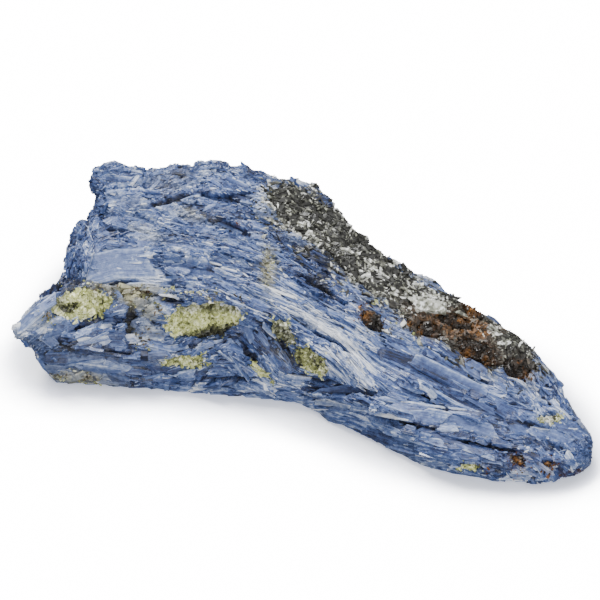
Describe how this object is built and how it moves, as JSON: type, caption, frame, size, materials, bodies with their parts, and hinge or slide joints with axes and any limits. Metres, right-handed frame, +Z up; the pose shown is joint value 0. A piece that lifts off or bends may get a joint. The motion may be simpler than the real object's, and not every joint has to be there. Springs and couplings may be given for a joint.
{
  "type": "kyanite and garnet specimen",
  "caption": "Broken hand specimen of blue bladed kyanite with pale green mica crusts, dark schist and rusty garnets, lying on a flat cleavage face.",
  "frame": {"origin": "middle of the object's box, at the level of the face it rests on", "axes": "+X along the specimen from the knobbed end to the pointed end, +Y to the back, +Z up off the resting face"},
  "size_m": [0.1048, 0.0662, 0.0284],
  "materials": {
    "kyanite": "bladed blue crystal with a satin to pearly lustre and whitish splinters",
    "schist": "dark grey flaky mica with pale specks",
    "mica": "sugary pale yellow-green crust",
    "garnet": "weathered dark brown lumps with rusty rims"
  },
  "bodies": {
    "root": {"kyanite": "kyanite", "schist": "schist", "mica_crust_knob": "mica", "mica_crust_centre": "mica", "mica_crust_upper": "mica", "mica_crust_right": "mica", "mica_crust_low": "mica", "mica_crust_sliver": "mica", "mica_crust_tip": "mica", "mica_crust_toe": "mica", "garnet_upper": "garnet", "garnet_middle": "garnet", "garnet_core": "garnet", "garnet_rim": "garnet", "garnet_lower": "garnet", "garnet_end": "garnet", "garnet_toe_a": "garnet", "garnet_toe_b": "garnet"}
  },
  "joints": []
}
